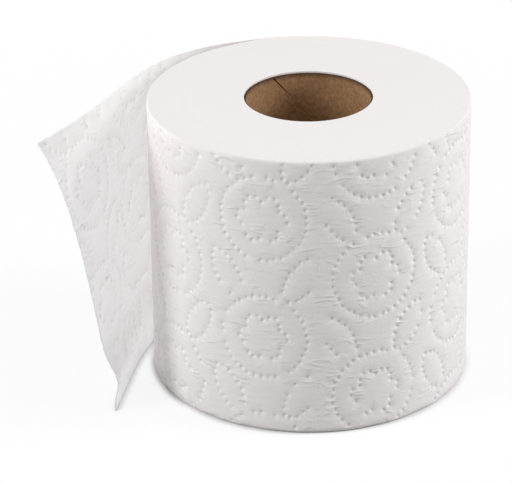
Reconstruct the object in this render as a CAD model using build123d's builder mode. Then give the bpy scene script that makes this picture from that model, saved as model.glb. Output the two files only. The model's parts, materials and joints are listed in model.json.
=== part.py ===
from build123d import *

import os
from math import acos, ceil, cos, degrees, radians, sin

# A toilet paper roll standing on one end, in millimetres and degrees, with +Z up.
# The origin is on the core's axis, in the plane that the roll stands on.
# Angles are measured from +X, counter-clockwise seen from above.

# Core: brown paperboard wound into a tube, with one spiral seam inside
core_bore = 43.2
core_wall = 0.6
seam_lead = 165.0           # rise of the seam in one turn
seam_width = 0.5
seam_depth = 0.2
seam_top_angle = 126.0      # where the seam reaches the top rim

# Tissue web, wound on the core
web_width = 101.6           # also the height of the standing roll
web_thickness = 0.4
roll_diameter = 112.0       # over the last full turn
glue_line = 0.05            # between the core and the first turn

# Winding line: the spiral of turn edges on both end faces, drawn coarser than the real turns
winding_pitch = 6.0
winding_line_width = 0.35
winding_line_depth = 0.3

# Lifted turn: the last turn springs away from the roll before it becomes the free tail
lift_angle = 104.0          # where the web starts to lift
lift_sweep = 46.0           # how far round it stays an arc
lift_slack = 10.0           # by how much its arc is wider than the roll
nip_gap = 0.3               # where the slit between the lifted turn and the roll ends

# Tail: the free sheet, which twists outwards at the top
tail_bottom_length = 63.0
tail_top_length = 73.0
tail_bottom_turn = 38.0     # change of direction along the bottom edge, towards the roll
tail_top_turn = 3.5         # change of direction along the top edge
tail_sag = 3.5              # how far the free end bends in between its bottom and its top
tear_bow = 1.5              # how far the torn edge is hollow between its corners
tear_trim = 4.0             # sheet beyond the torn edge, cut away

core_radius = core_bore / 2 + core_wall
web_bore_radius = core_radius + glue_line
roll_radius = roll_diameter / 2
lift_radius = roll_radius + lift_slack
overcut = 2.0               # how far cutting shapes reach past the faces they cut


def toward(angle, distance=1.0):
    return Vector(distance * cos(radians(angle)), distance * sin(radians(angle)))


# Core tube
with BuildPart() as core_tube:
    with BuildSketch():
        Circle(core_radius)
        Circle(core_bore / 2, mode=Mode.SUBTRACT)
    extrude(amount=web_width)

    seam_start_angle = seam_top_angle - 360 * (web_width + overcut) / seam_lead
    seam_base = Plane(origin=(0, 0, -overcut), x_dir=toward(seam_start_angle), z_dir=(0, 0, 1))
    with BuildLine(seam_base) as seam_path:
        Helix(pitch=seam_lead, height=web_width + 2 * overcut, radius=core_bore / 2)
    seam_section = Plane(
        origin=seam_path.line @ 0, x_dir=toward(seam_start_angle), z_dir=seam_path.line % 0
    )
    with BuildSketch(seam_section):
        Rectangle(2 * seam_depth, seam_width)
    sweep(path=seam_path.line, is_frenet=True, mode=Mode.SUBTRACT)

core_tube.part.label = "core_tube"

# The lifted turn bends about a centre beyond the roll's own, so that it leaves the roll smoothly
lift_centre = toward(lift_angle, roll_radius - lift_radius)
lift_end_angle = lift_angle + lift_sweep
nip_angle = degrees(acos(1 - nip_gap / lift_slack))

# The roll's outline is a spiral of two half circles, one web thickness apart after a full turn
early_centre = toward(lift_angle, -web_thickness / 4)
late_centre = toward(lift_angle, web_thickness / 4)
early_radius = roll_radius - 3 * web_thickness / 4
late_radius = roll_radius - web_thickness / 4

# Tail edges start at the end of the lifted turn and go on in its direction
tail_root = lift_centre + toward(lift_end_angle, lift_radius)
tail_heading = lift_end_angle + 90


def edge_point(length, turn, share):
    """Point on a tail edge that starts along the heading and turns evenly, in plan."""
    half_turn = radians(turn * share / 2)
    chord_share = sin(half_turn) / half_turn if half_turn else 1
    return tail_root + toward(tail_heading + degrees(half_turn), length * share * chord_share)


def tail_corners(share):
    """Corners of the sheet's upright section at a share of its length."""
    bottom = edge_point(tail_bottom_length + tear_trim, tail_bottom_turn, share)
    top = edge_point(tail_top_length + tear_trim, tail_top_turn, share)
    mean_turn = share * (tail_bottom_turn + tail_top_turn) / 2
    inward = toward(tail_heading + mean_turn + 90, web_thickness)
    rise = Vector(0, 0, web_width)
    return [bottom, bottom + inward, top + inward + rise, top + rise]


# Wound tissue with its loose tail
with BuildPart() as wound_tissue:
    with BuildSketch():
        with BuildLine():
            outside = CenterArc(lift_centre, lift_radius, lift_angle, lift_sweep)
            inside = CenterArc(
                lift_centre, lift_radius - web_thickness, lift_end_angle, nip_angle - lift_sweep
            )
            early_turn = CenterArc(early_centre, early_radius, lift_angle + nip_angle, 180 - nip_angle)
            CenterArc(late_centre, late_radius, lift_angle + 180, 180)
            Line(outside @ 1, inside @ 0)
            Line(inside @ 1, early_turn @ 0)
        make_face()
        Circle(web_bore_radius, mode=Mode.SUBTRACT)
    extrude(amount=web_width)

    # Free sheet
    for share in (0, 0.5, 1):
        corners = tail_corners(share)
        inward = corners[1] - corners[0]
        section = Plane(
            origin=corners[0], x_dir=inward, z_dir=inward.cross(corners[3] - corners[0])
        )
        low_out, low_in, high_in, high_out = [section.to_local_coords(corner) for corner in corners]
        sag = Vector(tail_sag * share**2, 0)
        with BuildSketch(section):
            with BuildLine():
                Line(low_out, low_in)
                Spline(low_in, (low_in + high_in) / 2 + sag, high_in)
                Line(high_in, high_out)
                Spline(high_out, (low_out + high_out) / 2 + sag, low_out)
            make_face()
    loft()

    # Torn edge
    mean_heading = tail_heading + (tail_bottom_turn + tail_top_turn) / 4
    sheet_side = Plane(
        origin=tail_root, x_dir=toward(mean_heading), z_dir=toward(mean_heading - 90)
    )
    low_corner = (tail_bottom_length, 0)
    high_corner = (tail_top_length, web_width)
    hollow = ((tail_bottom_length + tail_top_length) / 2 - tear_bow, web_width / 2)
    beyond = max(tail_bottom_length, tail_top_length) + 2 * tear_trim
    with BuildSketch(sheet_side):
        with BuildLine():
            tear = ThreePointArc(low_corner, hollow, high_corner)
            Polyline(
                tear @ 1,
                (tail_top_length, web_width + overcut),
                (beyond, web_width + overcut),
                (beyond, -overcut),
                (tail_bottom_length, -overcut),
                tear @ 0,
            )
        make_face()
    extrude(amount=roll_radius, both=True, mode=Mode.SUBTRACT)

    # Winding line on both ends
    first_radius = web_bore_radius + winding_pitch / 2
    last_radius = roll_radius - winding_pitch / 2
    half_turns = ceil(2 * (last_radius - first_radius) / winding_pitch)
    for end, inward_depth in ((0, winding_line_depth), (web_width, -winding_line_depth)):
        with BuildSketch(Plane.XY.offset(end)):
            with BuildLine():
                for half_turn in range(half_turns):
                    side = -1 if half_turn % 2 == 0 else 1
                    centre = toward(lift_angle, side * winding_pitch / 4)
                    radius = first_radius + half_turn * winding_pitch / 2
                    start = lift_angle + 180 * half_turn
                    inner = CenterArc(centre, radius, start, 180)
                    outer = CenterArc(centre, radius + winding_line_width, start, 180)
                    if half_turn == 0:
                        Line(inner @ 0, outer @ 0)
                Line(inner @ 1, outer @ 1)
            make_face()
        extrude(amount=inward_depth, mode=Mode.SUBTRACT)

wound_tissue.part.label = "wound_tissue"

os.makedirs("parts", exist_ok=True)
export_step(core_tube.part, "parts/core_tube.step")
export_step(wound_tissue.part, "parts/wound_tissue.step")
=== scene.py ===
import json
import math
import random

import bmesh
import bpy
from mathutils import Matrix, Vector, geometry, kdtree, noise


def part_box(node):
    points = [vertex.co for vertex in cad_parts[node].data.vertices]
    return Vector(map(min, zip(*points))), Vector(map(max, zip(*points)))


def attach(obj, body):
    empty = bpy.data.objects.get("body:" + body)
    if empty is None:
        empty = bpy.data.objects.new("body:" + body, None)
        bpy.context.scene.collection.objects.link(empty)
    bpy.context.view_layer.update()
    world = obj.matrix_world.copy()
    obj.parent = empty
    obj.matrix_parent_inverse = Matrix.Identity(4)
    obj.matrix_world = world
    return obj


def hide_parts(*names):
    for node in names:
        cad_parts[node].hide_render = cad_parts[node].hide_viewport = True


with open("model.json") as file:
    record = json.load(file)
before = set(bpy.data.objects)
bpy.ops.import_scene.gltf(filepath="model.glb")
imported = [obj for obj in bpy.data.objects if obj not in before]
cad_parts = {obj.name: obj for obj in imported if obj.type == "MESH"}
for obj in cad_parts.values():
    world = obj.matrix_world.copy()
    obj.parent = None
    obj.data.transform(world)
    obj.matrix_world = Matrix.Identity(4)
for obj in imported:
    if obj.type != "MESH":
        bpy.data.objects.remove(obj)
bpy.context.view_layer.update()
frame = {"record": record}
mm = 0.001

tissueLow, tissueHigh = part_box("wound_tissue")
coreLow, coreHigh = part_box("core_tube")
mounts = {mount["name"]: mount for mount in frame["record"]["mounts"]}
rollHeight = (tissueHigh[2] - tissueLow[2]) / mm
coreRadius = (coreHigh[0] - coreLow[0]) / 2 / mm
boreRadius = mounts["core_bore"]["dims"]["r_mm"]
print("frame loaded, roll height", round(rollHeight, 2), "mm, core", round(2 * coreRadius, 2), "mm")


# Shared helpers

def linear(hexColour):
    channels = [int(hexColour[i:i + 2], 16) / 255 for i in (1, 3, 5)]
    return [c / 12.92 if c <= 0.04045 else ((c + 0.055) / 1.055) ** 2.4 for c in channels] + [1.0]


def addNode(tree, kind, inputs=None, **settings):
    node = tree.nodes.new(kind)
    for name, value in settings.items():
        setattr(node, name, value)
    for key, value in (inputs or {}).items():
        if isinstance(value, bpy.types.NodeSocket):
            tree.links.new(value, node.inputs[key])
        else:
            node.inputs[key].default_value = value
    return node


def newMaterial(name):
    material = bpy.data.materials.new(name)
    material.use_nodes = True
    tree = material.node_tree
    tree.nodes.clear()
    return material, tree


def heading(degrees):
    return Vector((math.cos(math.radians(degrees)), math.sin(math.radians(degrees)), 0))


def smoothStep(low, high, x):
    t = min(max((x - low) / (high - low), 0), 1)
    return t * t * (3 - 2 * t)


def meshObject(name, vertices, faces):
    mesh = bpy.data.meshes.new(name)
    mesh.from_pydata([v * mm for v in vertices], [], faces)
    piece = bpy.data.objects.new(name, mesh)
    bpy.context.scene.collection.objects.link(piece)
    return piece


def addAttribute(mesh, name, kind, domain, values):
    attribute = mesh.attributes.new(name, kind, domain)
    if kind == "FLOAT_VECTOR":
        attribute.data.foreach_set("vector", [c for value in values for c in value])
    else:
        attribute.data.foreach_set("value", values)


def closeMesh(piece, gap):
    work = bmesh.new()
    work.from_mesh(piece.data)
    bmesh.ops.remove_doubles(work, verts=work.verts, dist=gap)
    bmesh.ops.dissolve_degenerate(work, edges=work.edges, dist=gap)
    openEdges = [edge for edge in work.edges if len(edge.link_faces) != 2]
    print(piece.name, "faces", len(work.faces), "open edges", len(openEdges))
    work.to_mesh(piece.data)
    work.free()


def finishPiece(piece, node, sharpAngle):
    piece.data.shade_smooth()
    piece.data.set_sharp_from_angle(angle=math.radians(sharpAngle))
    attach(piece, "root")
    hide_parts(node)
    print(piece.name, "triangles", sum(len(face.vertices) - 2 for face in piece.data.polygons))


# Camera, fitted to the roll's rims in the photograph

cameraFit = {
    "lens": 200.0,
    "sensorWidth": 36.0,
    "position": (0, -902.06, 481.39),  # mm from the roll's base
    "yaw": -0.0207,  # radians, as the next two
    "pitch": 0.44948,
    "roll": -0.01303,
    "clipEnd": 20.0,
}


def makeCamera(fit):
    yaw, pitch, roll = fit["yaw"], fit["pitch"], fit["roll"]
    flat = math.cos(pitch)
    forward = Vector((math.sin(yaw) * flat, math.cos(yaw) * flat, -math.sin(pitch)))
    level = Vector((math.cos(yaw), -math.sin(yaw), 0))
    upright = level.cross(forward)
    right = level * math.cos(roll) + upright * math.sin(roll)
    up = upright * math.cos(roll) - level * math.sin(roll)
    data = bpy.data.cameras.new("camera")
    data.lens = fit["lens"]
    data.sensor_width = fit["sensorWidth"]
    data.clip_end = fit["clipEnd"]
    camera = bpy.data.objects.new("camera", data)
    turn = Matrix((right, up, -forward)).transposed().to_4x4()
    camera.matrix_world = Matrix.Translation(Vector(fit["position"]) * mm) @ turn
    bpy.context.scene.collection.objects.link(camera)
    bpy.context.scene.camera = camera
    print("camera placed")


makeCamera(cameraFit)


# Tissue web: lengths along the web run from the line where the last turn lifts off the roll,
# positive round the roll and negative out to the torn end of the tail

web = {
    "thickness": 0.4,
    "rollRadius": 56.0,
    "glueLine": 0.05,
    "liftAngle": 104.0,
    "stretch": 22.0,  # the tail's edges bend evenly over each such stretch
    "topBends": (12.4, 23.5, 17.2, -1.2, -5.3),  # degrees
    "bottomBends": (20.3, 23.4, 13.9, 9.3, -0.1),
    "topLength": 126.7,
    "bottomLength": 115.5,
    "flare": 0.26,  # share of the twist that is left to the top corner
    "flarePower": 7.0,
    "footTuck": 0.18,  # the lowest part of the free end stands upright
    "footHeight": 0.12,
    "footSpread": 0.071,
    "tearBow": 1.3,
    "tearRagged": 0.3,
    "tearWaves": ((38, 1.3, 1.0), (95, 5.1, 0.6)),  # count up the torn edge, noise row, share
    "tailRelief": (0.85, 0.45),  # how much of the relief shows on the tail's outer and inner face
    "reliefReach": 30.0,  # how far out along the tail it takes to get there
    "nipReach": 2.0,  # the inner face stays flat where it leaves the roll
    "looseGlow": 0.77,  # share of the light that each face of the loose tail lets through
    "looseStart": 48.0,  # where the web is far enough off the roll for that
    "rimRound": (1.8, 0.8),  # the turns' edges give way at the bottom and the top rim
    "rimRagged": 0.35,
    "rimWave": 9.0,
    "rimFade": 14.0,
    "endLay": 0.25,  # how far single turns lie back from the ends
    "layVary": 0.4,
    "layWaves": 1.5,
    "seed": 7,
}
turnLength = 2 * math.pi * web["rollRadius"]
onLine = 1e-4  # mm, points this near the lift line lie on it


def tailEdge(bends, length):
    place = heading(web["liftAngle"]) * web["rollRadius"]
    way = web["liftAngle"] + 90
    for bend in bends:
        last = bend is bends[-1] or length <= web["stretch"]
        part = length if last else web["stretch"]
        half = bend * part / web["stretch"] / 2
        chord = part * (math.sin(math.radians(half)) / math.radians(half) if half else 1)
        place = place + heading(way + half) * chord
        if last:
            return place
        way += bend
        length -= part


def twistShare(up):
    flare = web["flare"]
    tuck = web["footTuck"] * math.exp(-((up - web["footHeight"]) / web["footSpread"]) ** 2)
    return (1 - flare) * up + flare * max(up, 0) ** web["flarePower"] - tuck


def rimInset(along, up):
    size = web["rimRound"][0 if up < 0.5 else 1]
    size *= 1 + web["rimRagged"] * noise.noise((along / web["rimWave"], up * 3, web["seed"]))
    reach = min(max(min(up, 1 - up) * rollHeight, 0), size)
    fade = smoothStep(0, web["rimFade"], along) * smoothStep(0, web["rimFade"], turnLength - along)
    return fade * (size - math.sqrt(size ** 2 - (size - reach) ** 2))


def webPoint(along, up):
    height = Vector((0, 0, up * rollHeight))
    if along >= 0:
        radius = web["rollRadius"] - web["thickness"] * along / turnLength - rimInset(along, up)
        return heading(web["liftAngle"] - 360 * along / turnLength) * radius + height
    bottom = tailEdge(web["bottomBends"], -along)
    top = tailEdge(web["topBends"], -along)
    return bottom.lerp(top, twistShare(up)) + height


def webNormal(along, up):
    step = 0.2  # mm to each side
    stepUp = step / rollHeight
    alongWay = webPoint(along + step, up) - webPoint(along - step, up)
    upWay = webPoint(along, up + stepUp) - webPoint(along, up - stepUp)
    return upWay.cross(alongWay).normalized()


def tearAt(up):
    length = web["bottomLength"] + (web["topLength"] - web["bottomLength"]) * up
    length -= web["tearBow"] * 4 * up * (1 - up)
    waves = web["tearWaves"]
    ragged = sum(share * noise.noise((up * count, row, web["seed"])) for count, row, share in waves)
    bond = max(0, math.cos(2 * math.pi * up * rollHeight / perforation["pitch"]))  # torn bonds stand out
    return -length + web["tearRagged"] * (ragged - bond ** perforation["bondPower"])


# Embossed dots: rings with a small rosette inside, and leaning leaves between the rings

emboss = {
    "columnPitch": 39.0,
    "rowPitch": 44.0,
    "firstColumn": -145.5,
    "firstRow": 14.0,
    "ringRadius": 15.2,
    "rosetteRadius": 6.4,
    "petalHeight": 2.4,
    "petals": 6,
    "leafLength": 19.0,
    "leafWidth": 9.0,
    "leafLean": 32.0,
    "leafBlunt": 0.25,
    "dotPitch": 2.6,
    "dotClearance": 2.1,
    "dotStray": 0.22,
    "dotMissing": 0.07,
    "depthRange": (0.65, 1.3),
    "faintShare": 0.4,  # in places the rollers pressed less
    "faintLength": 16.0,
    "faintRange": (0.0, 0.5),  # values of the noise where that starts and is full
    "edgeMargin": 1.2,
    "dentRings": ((0.0, 1, 1.0), (0.4, 6, 0.82), (0.75, 9, 0.22), (1.02, 10, 0.0)),  # mm, points, depth
    "pillowSpread": 1.6,  # the paper is pulled in round each dot
    "edgeFade": 1.6,  # the relief ends at the web's edges
    "overlapFade": 20.0,  # and where the turn slips under the tail
}

perforation = {
    "sheetLength": 102.5,
    "firstLine": -18.4,
    "pitch": 2.2,
    "slitHalf": 0.62,
    "slitShare": 0.35,
    "edgeMargin": 1.5,
    "bondPower": 4,
    "slitPoints": (  # mm across, half slits along, depth
        (0, -1, 1), (0, 0, 1), (0, 1, 1), (-0.3, -1, 0), (-0.3, 0, 0), (-0.3, 1, 0),
        (0.3, -1, 0), (0.3, 0, 0), (0.3, 1, 0), (0, -1.5, 0), (0, 1.5, 0),
    ),
}


def dotsOn(outline, pitch):
    steps = 400
    dense = [outline(2 * math.pi * k / steps) for k in range(steps + 1)]
    lengths = [0.0]
    for a, b in zip(dense, dense[1:]):
        lengths.append(lengths[-1] + math.dist(a, b))
    count = max(3, round(lengths[-1] / pitch))
    dots, k = [], 0
    for n in range(count):
        target = lengths[-1] * n / count
        while lengths[k + 1] < target:
            k += 1
        dots.append(dense[k])
    return dots


def embossDots():
    pitch = emboss["dotPitch"]

    def ringLine(t):
        return emboss["ringRadius"] * math.cos(t), emboss["ringRadius"] * math.sin(t)

    def rosetteLine(t):
        radius = emboss["rosetteRadius"] + emboss["petalHeight"] * abs(math.sin(emboss["petals"] * t / 2))
        return radius * math.sin(t), radius * math.cos(t)

    def leafLine(t, lean):
        x = emboss["leafWidth"] / 2 * math.sin(t) * abs(math.sin(t)) ** emboss["leafBlunt"]
        y = emboss["leafLength"] / 2 * math.cos(t)
        turn = math.radians(lean)
        return x * math.cos(turn) + y * math.sin(turn), y * math.cos(turn) - x * math.sin(turn)

    ring = dotsOn(ringLine, pitch) + dotsOn(rosetteLine, pitch)
    leaves = [dotsOn(lambda t, s=s: leafLine(t, s * emboss["leafLean"]), pitch) for s in (1, -1)]
    columnPitch, rowPitch = emboss["columnPitch"], emboss["rowPitch"]
    dots = []
    for column in range(-1, math.ceil((turnLength - emboss["firstColumn"]) / columnPitch) + 1):
        along = emboss["firstColumn"] + column * columnPitch
        for row in range(-1, math.ceil(rollHeight / rowPitch) + 1):
            z = emboss["firstRow"] + row * rowPitch + (column % 2) * rowPitch / 2
            dots += [(along + x, z + y) for x, y in ring]
            dots += [(along + columnPitch / 3 + x, z + rowPitch / 2 + y) for x, y in leaves[0]]
            dots += [(along + columnPitch * 2 / 3 + x, z + y) for x, y in leaves[1]]
    return dots


def insideWeb(along, z, margin):
    if not margin < z < rollHeight - margin or along > turnLength - margin:
        return False
    return along > tearAt(z / rollHeight) + margin


def perforationSlits():
    slits = []
    for line in range(math.ceil(turnLength / perforation["sheetLength"]) + 1):
        along = perforation["firstLine"] + line * perforation["sheetLength"]
        for k in range(1, int(rollHeight / perforation["pitch"])):
            if insideWeb(along, k * perforation["pitch"], perforation["edgeMargin"]):
                slits.append((along, k * perforation["pitch"]))
    return slits


def spacedDots(dots, slits):
    kept, cells, gap = [], {}, emboss["dotClearance"]
    for slit in slits:
        cells.setdefault((int(slit[0] // gap), int(slit[1] // gap)), []).append(slit)
    for along, z in dots:
        if not insideWeb(along, z, emboss["edgeMargin"]) or abs(along) < emboss["edgeMargin"]:
            continue
        column, row = int(along // gap), int(z // gap)
        around = [(column + i, row + j) for i in (-1, 0, 1) for j in (-1, 0, 1)]
        if all(math.dist(p, (along, z)) > gap for cell in around for p in cells.get(cell, ())):
            cells.setdefault((column, row), []).append((along, z))
            stray = emboss["dotStray"]
            if random.random() > emboss["dotMissing"]:
                kept.append((along + random.uniform(-stray, stray), z + random.uniform(-stray, stray)))
    return kept


tissueMesh = {
    "groundStep": 2.2,
    "groundJitter": 0.5,
    "groundClearance": 0.85,
    "groundMargin": 0.6,
    "edgeStep": 1.0,
    "tearStep": 0.55,
    "rimRows": (0.08, 0.35, 0.9, 1.7),  # mm from each rim
    "endRings": 24,
    "mergeGap": 1e-5,  # mm, in the flat web
    "weldGap": 3e-6,  # m
    "sharpAngle": 65,
}


def tissueBlank():
    # flat web in millimetres: points with a share of dent depth, its triangles and its dots
    random.seed(web["seed"])
    rows = round(rollHeight / tissueMesh["edgeStep"])
    turns = round(turnLength / tissueMesh["edgeStep"])
    tears = round(rollHeight / tissueMesh["tearStep"])
    bottomTail = round(-tearAt(0) / tissueMesh["edgeStep"])
    topTail = round(-tearAt(1) / tissueMesh["edgeStep"])
    bottom = [(tearAt(0) * (1 - k / bottomTail), 0.0) for k in range(bottomTail)]
    bottom += [(turnLength * k / turns, 0.0) for k in range(turns)]
    right = [(turnLength, rollHeight * k / rows) for k in range(rows + 1)]
    top = [(turnLength * (1 - k / turns), rollHeight) for k in range(1, turns + 1)]
    top += [(tearAt(1) * k / topTail, rollHeight) for k in range(1, topTail)]
    left = [(tearAt(k / tears), rollHeight * k / tears) for k in range(tears, 0, -1)]
    loop = bottom + right + top + left
    points = list(loop)
    depths = [0.0] * len(loop)
    edges = [(k, (k + 1) % len(loop)) for k in range(len(loop))]
    # the line where the turn lifts off, shared by the web's two faces
    liftLine = [bottomTail]
    for k in range(1, rows):
        liftLine.append(len(points))
        points.append((0.0, rollHeight * k / rows))
        depths.append(0.0)
    liftLine.append(len(bottom) + len(right) + turns - 1)
    edges += list(zip(liftLine, liftLine[1:]))
    # perforation slits and embossed dots, each with its own points
    slits = perforationSlits()
    for along, z in slits:
        opened = random.random() ** 2  # most slits are nearly shut
        for across, halves, share in perforation["slitPoints"]:
            points.append((along + across, z + halves * perforation["slitHalf"]))
            depths.append(share * opened * perforation["slitShare"])
    dots = spacedDots(embossDots(), slits)
    for along, z in dots:
        spin = random.random()
        zone = noise.noise((along / emboss["faintLength"], z / emboss["faintLength"], web["seed"]))
        pressed = random.uniform(*emboss["depthRange"])
        pressed *= 1 - emboss["faintShare"] * smoothStep(*emboss["faintRange"], zone)
        for radius, count, share in emboss["dentRings"]:
            for k in range(count):
                angle = 2 * math.pi * (k + spin) / count
                points.append((along + radius * math.cos(angle), z + radius * math.sin(angle)))
                depths.append(share * pressed)
    # rows that round the rims, and plain ground for the rest
    for reach in tissueMesh["rimRows"]:
        for k in range(1, turns):
            points += [(turnLength * k / turns, reach), (turnLength * k / turns, rollHeight - reach)]
            depths += [0.0, 0.0]
    tree = kdtree.KDTree(len(points))
    for k, (along, z) in enumerate(points):
        tree.insert((along, z, 0), k)
    tree.balance()
    step, jitter = tissueMesh["groundStep"], tissueMesh["groundJitter"]
    for column in range(int(tearAt(1) / step) - 2, int(turnLength / step) + 1):
        for row in range(int(rollHeight / step) + 1):
            along = step * (column + 0.5 * (row % 2) + jitter * (random.random() - 0.5))
            z = step * (row + 0.5 + jitter * (random.random() - 0.5))
            clear = tree.find((along, z, 0))[2] > tissueMesh["groundClearance"]
            if clear and insideWeb(along, z, tissueMesh["groundMargin"]):
                points.append((along, z))
                depths.append(0.0)
    flat = [Vector(point) for point in points]
    result = geometry.delaunay_2d_cdt(flat, edges, [list(range(len(loop)))], 1, tissueMesh["mergeGap"])
    flat, triangles, origins = result[0], result[2], result[3]
    depths = [max((depths[k] for k in source), default=0.0) for source in origins]
    print("embossed dots", len(dots), "slits", len(slits), "web points", len(flat))
    return flat, depths, triangles, dots, turns


def makeTissue():
    flat, depths, triangles, dots, turns = tissueBlank()
    dotTree = kdtree.KDTree(len(dots))
    for k, (along, z) in enumerate(dots):
        dotTree.insert((along, z, 0), k)
    dotTree.balance()

    vertices, sheet, outward, dent, pillow, keep, loose = [], [], [], [], [], [], []

    def addVertex(position, along, z, normal, dentShare, side):
        reach = min(z, rollHeight - z, along - tearAt(z / rollHeight))
        vertices.append(position)
        sheet.append((along * mm, z * mm, 0))
        outward.append(normal)
        dent.append(dentShare)
        pillow.append(math.exp(-(dotTree.find((along, z, 0))[2] / emboss["pillowSpread"]) ** 2))
        keep.append(
            smoothStep(0, emboss["edgeFade"], reach)
            * smoothStep(0, emboss["overlapFade"], turnLength - along) * side
        )
        loose.append(web["looseGlow"] * smoothStep(0, web["looseStart"], -along))
        return len(vertices) - 1

    outer, inner = [], {}
    for k, point in enumerate(flat):
        along, z = point
        up = z / rollHeight
        normal = webNormal(along, up)
        position = webPoint(along, up)
        outerShare, innerShare = web["tailRelief"]
        share = 1 + (outerShare - 1) * smoothStep(0, web["reliefReach"], -along)
        outer.append(addVertex(position, along, z, normal, depths[k], share))
        if along < onLine:
            share = innerShare * smoothStep(web["nipReach"], web["reliefReach"], -along)
            under = position - normal * web["thickness"]
            inner[k] = addVertex(under, along, z, normal, depths[k], share)
    faces = [tuple(reversed([outer[k] for k in triangle])) for triangle in triangles]
    sides = set()
    for triangle in triangles:
        if all(k in inner for k in triangle):
            faces.append(tuple(inner[k] for k in triangle))
            sides.update(zip(triangle, triangle[1:] + triangle[:1]))
    # torn end and cut edges of the tail
    for a, b in sorted(sides):
        onLiftLine = abs(flat[a][0]) < onLine and abs(flat[b][0]) < onLine
        if (b, a) not in sides and not onLiftLine:
            faces.append((outer[a], outer[b], inner[b], inner[a]))
    webFaces = len(faces)

    # ends of the wound turns, ring by ring, and the bore that the core fills
    rings = tissueMesh["endRings"]
    innerRadius = coreRadius + web["glueLine"]
    random.seed(web["seed"])
    lay = [0.0] + [random.random() * web["endLay"] for k in range(rings - 2)] + [0.0]

    def endVertex(column, ring, up):
        if ring == rings:
            return webPoint(turnLength * column / turns, up)
        direction = heading(web["liftAngle"] - 360 * (column % turns) / turns)
        lastRadius = web["rollRadius"] - web["thickness"] - rimInset(turnLength * column / turns, up)
        radius = innerRadius + (lastRadius - innerRadius) * ring / (rings - 1)
        vary = noise.noise(direction * web["layWaves"] + Vector((0, 0, ring)))
        drop = lay[ring] * (1 - web["layVary"] + web["layVary"] * vary)
        return direction * radius + Vector((0, 0, rollHeight - drop if up else drop))

    bores = []
    for up in (0, 1):
        grid = []
        for column in range(turns + 1):
            line = []
            for ring in range(rings + 1):
                position = endVertex(column, ring, up)
                along = turnLength * column / turns
                line.append(addVertex(position, along, up * rollHeight, Vector((0, 0, 1)), 0.0, 0.0))
            grid.append(line)
        for column in range(turns):
            for ring in range(rings):
                a, b = grid[column][ring], grid[column][ring + 1]
                c, d = grid[column + 1][ring + 1], grid[column + 1][ring]
                faces.append((a, b, c, d) if up else (a, d, c, b))
        bores.append([line[0] for line in grid])
    endFaces = len(faces)
    for column in range(turns):
        faces.append((bores[0][column], bores[1][column], bores[1][column + 1], bores[0][column + 1]))

    piece = meshObject("woundTissue", vertices, faces)
    mesh = piece.data
    addAttribute(mesh, "sheet", "FLOAT_VECTOR", "POINT", sheet)
    addAttribute(mesh, "outward", "FLOAT_VECTOR", "POINT", outward)
    addAttribute(mesh, "dent", "FLOAT", "POINT", dent)
    addAttribute(mesh, "pillow", "FLOAT", "POINT", pillow)
    addAttribute(mesh, "keep", "FLOAT", "POINT", keep)
    addAttribute(mesh, "loose", "FLOAT", "POINT", loose)
    onEnds = [webFaces <= k < endFaces for k in range(len(faces))]
    onTail = [k < webFaces and max(sheet[v][0] for v in face) < onLine * mm for k, face in enumerate(faces)]
    addAttribute(mesh, "isEnd", "BOOLEAN", "FACE", onEnds)
    addAttribute(mesh, "isTail", "BOOLEAN", "FACE", onTail)
    sheetMap = mesh.uv_layers.new(name="sheetMap")
    for loop in mesh.loops:
        sheetMap.data[loop.index].uv = sheet[loop.vertex_index][:2]
    closeMesh(piece, tissueMesh["weldGap"])
    return piece


# Relief of the web, as a node tree that presses the dots in along the web's own normal

relief = {
    "Dent Depth": 0.42 * mm,
    "Pillow Depth": 0.19 * mm,
    "Swell Height": 0.3 * mm,
    "Swell Length": 14.0 * mm,
    "Seed": 3.0,
}


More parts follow.
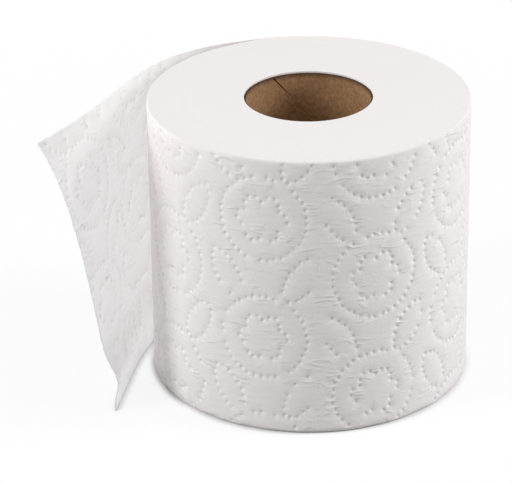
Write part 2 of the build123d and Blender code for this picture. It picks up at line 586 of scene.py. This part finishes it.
def reliefTree(paper, tail, ends):
    tree = bpy.data.node_groups.new("tissueRelief", "GeometryNodeTree")
    tree.interface.new_socket("Geometry", in_out="INPUT", socket_type="NodeSocketGeometry")
    for name, value in relief.items():
        socket = tree.interface.new_socket(name, in_out="INPUT", socket_type="NodeSocketFloat")
        socket.default_value = value
    tree.interface.new_socket("Geometry", in_out="OUTPUT", socket_type="NodeSocketGeometry")
    given = addNode(tree, "NodeGroupInput").outputs
    kinds = {"FLOAT_VECTOR": ("sheet", "outward"), "FLOAT": ("dent", "pillow", "keep"),
             "BOOLEAN": ("isTail", "isEnd")}
    stored = {}
    for kind, names in kinds.items():
        for name in names:
            node = addNode(tree, "GeometryNodeInputNamedAttribute", {"Name": name}, data_type=kind)
            stored[name] = node.outputs["Attribute"]

    grain = addNode(tree, "ShaderNodeMath", {0: 1.0, 1: given["Swell Length"]}, operation="DIVIDE").outputs[0]
    height = addNode(
        tree, "ShaderNodeTexNoise",
        {"Vector": stored["sheet"], "W": given["Seed"], "Scale": grain, "Detail": 1.0},
        noise_dimensions="4D",
    ).outputs[0]
    pressed = addNode(
        tree, "ShaderNodeMath", {0: stored["dent"], 1: given["Dent Depth"]}, operation="MULTIPLY",
    ).outputs[0]
    pulled = addNode(
        tree, "ShaderNodeMath", {0: stored["pillow"], 1: given["Pillow Depth"]}, operation="MULTIPLY",
    ).outputs[0]
    sunk = addNode(tree, "ShaderNodeMath", {0: pressed, 1: pulled}, operation="ADD").outputs[0]
    # soft swells about the middle, less what the dots press in and pull with them
    for operation, value in (("SUBTRACT", 0.5), ("MULTIPLY", given["Swell Height"]),
                             ("SUBTRACT", sunk), ("MULTIPLY", stored["keep"])):
        height = addNode(tree, "ShaderNodeMath", {0: height, 1: value}, operation=operation).outputs[0]
    offset = addNode(
        tree, "ShaderNodeVectorMath", {0: stored["outward"], "Scale": height}, operation="SCALE",
    ).outputs[0]
    moved = addNode(tree, "GeometryNodeSetPosition", {"Geometry": given["Geometry"], "Offset": offset})
    real = addNode(tree, "GeometryNodeRealizeInstances", {"Geometry": moved.outputs[0]})
    papered = addNode(tree, "GeometryNodeSetMaterial", {"Geometry": real.outputs[0], "Material": paper})
    tailed = addNode(
        tree, "GeometryNodeSetMaterial",
        {"Geometry": papered.outputs[0], "Selection": stored["isTail"], "Material": tail},
    )
    ended = addNode(
        tree, "GeometryNodeSetMaterial",
        {"Geometry": tailed.outputs[0], "Selection": stored["isEnd"], "Material": ends},
    )
    addNode(tree, "NodeGroupOutput", {"Geometry": ended.outputs[0]})
    return tree


def applyTree(piece, tree, values):
    modifier = piece.modifiers.new(tree.name, "NODES")
    modifier.node_group = tree
    for item in tree.interface.items_tree:
        if item.in_out == "INPUT" and item.name in values:
            modifier[item.identifier] = values[item.name]
    evaluated = piece.evaluated_get(bpy.context.evaluated_depsgraph_get())
    mesh = bpy.data.meshes.new_from_object(evaluated)
    piece.modifiers.remove(modifier)
    old = piece.data
    piece.data = mesh
    bpy.data.meshes.remove(old)
    mesh.name = piece.name


# Tissue materials

def tissuePaper(name, isLoose):
    # creped two-ply tissue: matt and soft, with short wrinkles
    # a loose web also glows with the light behind it
    material, tree = newMaterial(name)
    sheetMap = addNode(tree, "ShaderNodeUVMap", uv_map="sheetMap").outputs["UV"]
    # short creases run round the roll, where the ridge of one noise meets the patches of another
    drawn = addNode(
        tree, "ShaderNodeMapping", {"Vector": sheetMap, "Scale": (1 / (9 * mm), 1 / (2.5 * mm), 1)},
    )
    ridges = addNode(
        tree, "ShaderNodeTexNoise",
        {"Vector": drawn.outputs[0], "Scale": 1.0, "Detail": 0.0, "Offset": 1.0, "Gain": 1.0},
        noise_type="RIDGED_MULTIFRACTAL",
    ).outputs[0]
    lines = addNode(tree, "ShaderNodeMapRange", {"Value": ridges, "From Min": 0.55, "From Max": 1.0})
    patches = addNode(tree, "ShaderNodeTexNoise", {"Vector": sheetMap, "Scale": 1 / (6 * mm), "Detail": 1.0})
    chosen = addNode(
        tree, "ShaderNodeMapRange", {"Value": patches.outputs[0], "From Min": 0.51, "From Max": 0.68},
    )
    creases = addNode(
        tree, "ShaderNodeMath", {0: lines.outputs[0], 1: chosen.outputs[0]}, operation="MULTIPLY",
    ).outputs[0]
    creped = addNode(
        tree, "ShaderNodeMapping", {"Vector": sheetMap, "Scale": (1 / (6 * mm), 1 / (1.6 * mm), 1)},
    )
    wrinkles = addNode(tree, "ShaderNodeTexNoise", {"Vector": creped.outputs[0], "Scale": 1.0, "Detail": 3.0})
    fibres = addNode(tree, "ShaderNodeTexNoise", {"Vector": sheetMap, "Scale": 1 / (0.8 * mm), "Detail": 2.0})
    bump = addNode(tree, "ShaderNodeBump", {"Height": creases, "Strength": 0.65, "Distance": 0.3 * mm})
    for height, strength, depth in ((wrinkles.outputs[0], 0.5, 0.3), (fibres.outputs[0], 0.3, 0.2)):
        bump = addNode(
            tree, "ShaderNodeBump",
            {"Height": height, "Strength": strength, "Distance": depth * mm, "Normal": bump.outputs[0]},
        )
    shader = addNode(
        tree, "ShaderNodeBsdfPrincipled",
        {
            "Base Color": linear("#F3EEEE"), "Roughness": 0.95, "Specular IOR Level": 0.2,
            "Normal": bump.outputs[0],
        },
    )
    if isLoose:
        loose = addNode(tree, "ShaderNodeAttribute", attribute_name="loose").outputs["Fac"]
        through = addNode(
            tree, "ShaderNodeBsdfTranslucent", {"Color": linear("#EEEEEE"), "Normal": bump.outputs[0]},
        )
        shader = addNode(
            tree, "ShaderNodeMixShader", {0: loose, 1: shader.outputs[0], 2: through.outputs[0]},
        )
    addNode(tree, "ShaderNodeOutputMaterial", {"Surface": shader.outputs[0]})
    return material


def cutTissue():
    # hundreds of saw-cut web edges side by side: very white and flat, with faint circles
    material, tree = newMaterial("sawCutTissue")
    place = addNode(tree, "ShaderNodeTexCoord").outputs["Object"]
    apart = addNode(tree, "ShaderNodeSeparateXYZ", {0: place}).outputs
    level = addNode(tree, "ShaderNodeCombineXYZ", {"X": apart["X"], "Y": apart["Y"]}).outputs[0]
    radius = addNode(tree, "ShaderNodeVectorMath", {0: level}, operation="LENGTH").outputs["Value"]
    ring = addNode(tree, "ShaderNodeCombineXYZ", {"X": radius}).outputs[0]
    turns = addNode(tree, "ShaderNodeTexNoise", {"Vector": ring, "Scale": 1 / (0.9 * mm), "Detail": 2.0})
    fibres = addNode(tree, "ShaderNodeTexNoise", {"Vector": place, "Scale": 1 / (0.7 * mm), "Detail": 2.0})
    bump = addNode(
        tree, "ShaderNodeBump", {"Height": turns.outputs[0], "Strength": 0.3, "Distance": 0.15 * mm},
    )
    bump = addNode(
        tree, "ShaderNodeBump",
        {"Height": fibres.outputs[0], "Strength": 0.25, "Distance": 0.1 * mm, "Normal": bump.outputs[0]},
    )
    shader = addNode(
        tree, "ShaderNodeBsdfPrincipled",
        {
            "Base Color": linear("#F6F3F2"), "Roughness": 0.95, "Specular IOR Level": 0.2,
            "Normal": bump.outputs[0],
        },
    )
    addNode(tree, "ShaderNodeOutputMaterial", {"Surface": shader.outputs[0]})
    return material


tissue = makeTissue()
paper, loosePaper = tissuePaper("crepedTissue", False), tissuePaper("looseCrepedTissue", True)
applyTree(tissue, reliefTree(paper, loosePaper, cutTissue()), relief)
finishPiece(tissue, "wound_tissue", tissueMesh["sharpAngle"])


# Core tube: a strip of board wound into a tube, its edges meeting in a spiral seam

core = {
    "seamLead": 165.0,
    "seamTopAngle": 126.0,
    "seamProfile": ((-0.9, 0), (-0.3, 0), (-0.16, 1), (0.16, 1), (0.3, 0), (0.9, 0)),  # mm, depth
    "seamDepth": 0.4,
    "edgeLift": 0.16,  # how far the strip's upper edge stands into the bore
    "liftFade": 4.0,
    "bevel": 0.12,
    "rimDip": 0.1,  # the board's cut edge is hollow between its faces
    "rimEdge": 0.05,
    "recess": 0.5,  # the core's ends lie a little below the turns
    "darkBandReach": 1.7,  # how far in from its ends the board is coloured darker
    "seamFade": (4.5, 9.5),  # the seam opens near the ends and is closed further in
    "seamClosed": 0.95,
    "columns": 130,
    "rows": 96,
    "weldGap": 1e-6,  # m
    "sharpAngle": 40,
}


def makeCore():
    girth = 2 * math.pi * boreRadius
    offsets = [(place, depth * core["seamDepth"]) for place, depth in core["seamProfile"]]
    first, last = offsets[-1][0], girth + offsets[0][0]
    for k in range(1, core["columns"]):
        offsets.append((first + (last - first) * k / core["columns"], 0.0))
    low, high = core["recess"], rollHeight - core["recess"]
    vertices, faces, seam, edge = [], [], [], []
    # heights and distances out from the bore: up the bore, over the top edge, down the outside and back
    bevel, dip = core["bevel"], core["rimDip"]
    levels = [(low + (high - low) * k / core["rows"], 0) for k in range(core["rows"] + 1)]
    levels[0] = (low + bevel, 0)
    levels[-1] = (high - bevel, 0)
    wall = coreRadius - boreRadius
    levels += [(high, bevel), (high - dip, wall / 2), (high, wall - core["rimEdge"])]
    outside = core["rows"] // 3
    levels += [(high - dip + (low - high + 2 * dip) * k / outside, wall) for k in range(outside + 1)]
    levels += [(low, wall - core["rimEdge"]), (low + dip, wall / 2), (low, bevel)]
    seamEdge = core["seamProfile"][-2][0]
    for z, across in levels:
        start = core["seamTopAngle"] - 360 * (rollHeight - z) / core["seamLead"]
        opened = 1 - core["seamClosed"] * smoothStep(*core["seamFade"], min(z, rollHeight - z))
        # the bore is coloured darker close to the board's ends
        darkShare = max(0.0, 1 - min(z - low, high - z) / core["darkBandReach"])
        for place, depth in offsets:
            lift = 0
            if place >= seamEdge and across == 0:
                lift = core["edgeLift"] * math.exp(-(place - seamEdge) / core["liftFade"])
            radius = boreRadius + max(across, depth * opened) - lift
            vertices.append(heading(start + math.degrees(place / boreRadius)) * radius + Vector((0, 0, z)))
            seam.append(opened if depth and across == 0 else 0.0)
            edge.append(1.0 if across else darkShare)
    count = len(offsets)
    for ring in range(len(levels)):
        following = (ring + 1) % len(levels)
        for k in range(count):
            n = (k + 1) % count
            faces.append((ring * count + k, following * count + k, following * count + n, ring * count + n))
    piece = meshObject("coreTube", vertices, faces)
    addAttribute(piece.data, "seam", "FLOAT", "POINT", seam)
    addAttribute(piece.data, "edge", "FLOAT", "POINT", edge)
    piece.data.materials.append(kraftBoard())
    closeMesh(piece, core["weldGap"])
    return piece


def kraftBoard():
    # uncoated kraft board: brown, dull and fibrous; dark in the seam, on the ends and outside, and darker on
    # the bore near the ends
    material, tree = newMaterial("kraftBoard")
    place = addNode(tree, "ShaderNodeTexCoord").outputs["Object"]
    fibres = addNode(tree, "ShaderNodeTexNoise", {"Vector": place, "Scale": 1 / (1.2 * mm), "Detail": 4.0})
    ramp = addNode(tree, "ShaderNodeValToRGB", {"Fac": fibres.outputs[0]})
    for stop, position, colour in zip(ramp.color_ramp.elements, (0.3, 0.7), ("#8F6B4A", "#AD8963")):
        stop.position = position
        stop.color = linear(colour)
    seam = addNode(tree, "ShaderNodeAttribute", attribute_name="seam").outputs["Fac"]
    edge = addNode(tree, "ShaderNodeAttribute", attribute_name="edge").outputs["Fac"]
    # dark colour in the seam, on the board's ends and in a band on the bore next to them
    darkShare = addNode(tree, "ShaderNodeMath", {0: seam, 1: edge}, operation="MAXIMUM").outputs[0]
    colour = addNode(
        tree, "ShaderNodeMix",
        {"Factor": darkShare, "A": ramp.outputs[0], "B": linear("#4A3424")}, data_type="RGBA",
    )
    bump = addNode(
        tree, "ShaderNodeBump", {"Height": fibres.outputs[0], "Strength": 0.4, "Distance": 0.2 * mm},
    )
    shader = addNode(
        tree, "ShaderNodeBsdfPrincipled",
        {
            "Base Color": colour.outputs["Result"], "Roughness": 0.85, "Specular IOR Level": 0.3,
            "Normal": bump.outputs[0],
        },
    )
    addNode(tree, "ShaderNodeOutputMaterial", {"Surface": shader.outputs[0]})
    return material


finishPiece(makeCore(), "core_tube", core["sharpAngle"])


# Studio: pale floor, soft light from all round, a large soft lamp at each side and one behind the tail

studio = {
    "worldStrength": 0.485,
    "lampDistance": 1.2,  # m, as the next two sizes
    "lampSize": 0.5,
    "floorSize": 4.0,
    "lamps": (  # degrees from the front and above the floor, watts
        ("leftLamp", -66, 27, 6.3), ("rightLamp", 85, 27, 8.2), ("tailLamp", -110, 6, 4.7),
    ),
    "floorBounce": "#ADADAD",
    "floorShadow": 0.18,
    "shadowReach": (90, 400),  # mm from the axis, where the shadow starts to fade and ends
    "contactReach": 3.0,  # mm, the floor is darkest this close to the roll
    "contactShade": (0.55, 0.95),  # share of open sky at which this shade is full, and gone
    "contactSamples": 16,
}


def addLamp(name, turn, rise, power):
    data = bpy.data.lights.new(name, "AREA")
    data.shape = "DISK"
    data.size = studio["lampSize"]
    data.energy = power
    lamp = bpy.data.objects.new(name, data)
    target = Vector((0, 0, rollHeight / 2 * mm))
    way = heading(turn - 90) * math.cos(math.radians(rise)) + Vector((0, 0, math.sin(math.radians(rise))))
    lamp.location = target + way * studio["lampDistance"]
    lamp.rotation_euler = way.to_track_quat("Z", "Y").to_euler()
    bpy.context.scene.collection.objects.link(lamp)


def makeStudio():
    world = bpy.data.worlds.new("studio")
    bpy.context.scene.world = world
    world.use_nodes = True
    tree = world.node_tree
    tree.nodes.clear()
    path = addNode(tree, "ShaderNodeLightPath").outputs
    seen = addNode(
        tree, "ShaderNodeMath", {0: path["Is Camera Ray"], 1: path["Is Glossy Ray"]}, operation="MAXIMUM",
    ).outputs[0]
    seen = addNode(
        tree, "ShaderNodeMath", {0: seen, 1: path["Is Transmission Ray"]}, operation="MAXIMUM",
    ).outputs[0]
    white = (1, 1, 1, 1)
    lit = addNode(tree, "ShaderNodeBackground", {"Color": white, "Strength": studio["worldStrength"]})
    shown = addNode(tree, "ShaderNodeBackground", {"Color": white, "Strength": 1.0})
    mixed = addNode(tree, "ShaderNodeMixShader", {0: seen, 1: lit.outputs[0], 2: shown.outputs[0]})
    addNode(tree, "ShaderNodeOutputWorld", {"Surface": mixed.outputs[0]})

    material, tree = newMaterial("paleFloor")
    seen = addNode(tree, "ShaderNodeLightPath").outputs["Is Camera Ray"]
    # the floor looks white, but throws less light back than it would
    colour = addNode(
        tree, "ShaderNodeMix",
        {"Factor": seen, "A": linear(studio["floorBounce"]), "B": white}, data_type="RGBA",
    )
    matt = addNode(tree, "ShaderNodeBsdfDiffuse", {"Color": colour.outputs["Result"]})
    glow = addNode(tree, "ShaderNodeEmission", {"Color": white, "Strength": 1.0})
    # inside the core and close to the roll the floor keeps all its shade
    place = addNode(tree, "ShaderNodeTexCoord").outputs["Object"]
    away = addNode(tree, "ShaderNodeVectorMath", {0: place}, operation="LENGTH").outputs["Value"]
    openFloor = addNode(
        tree, "ShaderNodeAmbientOcclusion",
        {"Distance": studio["contactReach"] * mm}, samples=studio["contactSamples"],
    ).outputs["AO"]
    shaded, clear = studio["contactShade"]
    openFloor = addNode(
        tree, "ShaderNodeMapRange", {"Value": openFloor, "From Min": shaded, "From Max": clear},
    ).outputs[0]
    near, far = studio["shadowReach"]
    unshaded = addNode(
        tree, "ShaderNodeMapRange",
        {"Value": away, "From Min": near * mm, "From Max": far * mm, "To Min": 1 - studio["floorShadow"]},
        interpolation_type="SMOOTHSTEP",
    ).outputs[0]
    share = addNode(tree, "ShaderNodeMath", {0: away, 1: coreRadius * mm}, operation="GREATER_THAN")
    for factor in (seen, openFloor, unshaded):
        share = addNode(tree, "ShaderNodeMath", {0: share.outputs[0], 1: factor}, operation="MULTIPLY")
    mixed = addNode(
        tree, "ShaderNodeMixShader", {0: share.outputs[0], 1: matt.outputs[0], 2: glow.outputs[0]},
    )
    addNode(tree, "ShaderNodeOutputMaterial", {"Surface": mixed.outputs[0]})
    half = studio["floorSize"] / 2 / mm
    corners = [Vector((x, y, 0)) * half for x, y in ((-1, -1), (1, -1), (1, 1), (-1, 1))]
    floor = meshObject("floor", corners, [(0, 1, 2, 3)])
    floor.data.materials.append(material)

    for lamp in studio["lamps"]:
        addLamp(*lamp)
    bpy.context.scene.view_settings.view_transform = "Standard"
    print("studio lit")


makeStudio()
